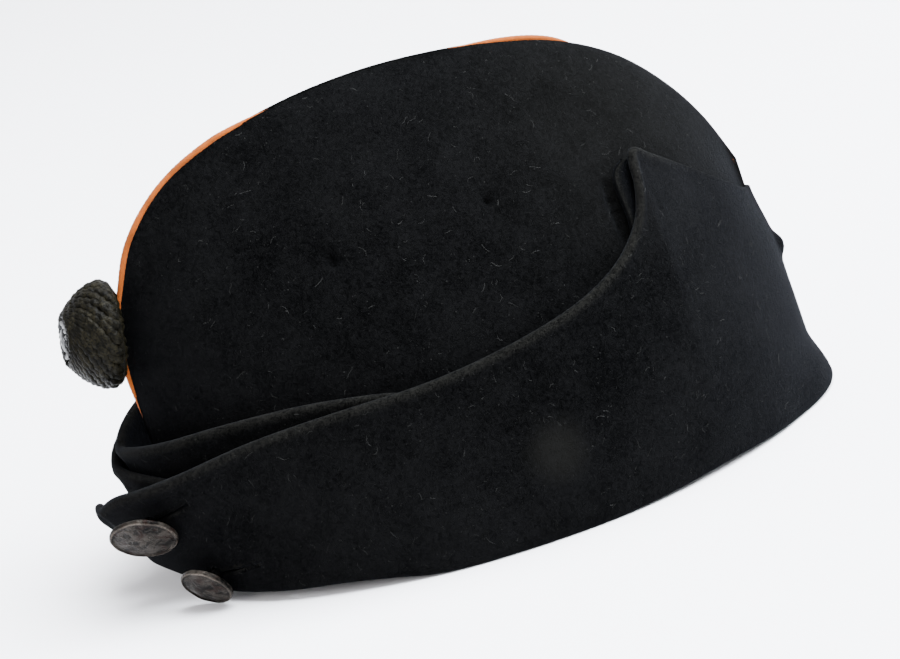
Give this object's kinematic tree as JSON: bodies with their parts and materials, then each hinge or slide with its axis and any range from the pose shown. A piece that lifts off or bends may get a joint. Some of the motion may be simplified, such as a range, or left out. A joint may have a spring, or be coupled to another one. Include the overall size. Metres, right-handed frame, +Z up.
{
  "type": "field service cap",
  "caption": "Folding wool service cap with a piped ridge seam, turned-up peak, overlapping buttoned flaps and a corded boss at the front; worn on the head.",
  "frame": {"origin": "centre of the cap's length and width on the plane its rim stands on", "axes": "+Z up from the rim to the ridge, -Y towards the front of the cap, +X towards the wearer's left"},
  "size_m": [0.132, 0.235, 0.1326],
  "materials": {
    "black_wool": "felted black wool with a short nap and white lint",
    "orange_cord": "faded orange cloth-covered cord",
    "tarnished_pewter": "dull tarnished white metal",
    "gimp_cord": "twisted dark olive cord",
    "dark_metal": "blackened metal worn bright on its high spots"
  },
  "bodies": {
    "root": {"crown_left": "black_wool", "crown_right": "black_wool", "piping": "orange_cord", "peak": "black_wool", "curtain_left": "black_wool", "curtain_right": "black_wool", "button_upper": "tarnished_pewter", "button_lower": "tarnished_pewter", "boss": "gimp_cord", "boss_ornament": "dark_metal"}
  },
  "joints": []
}
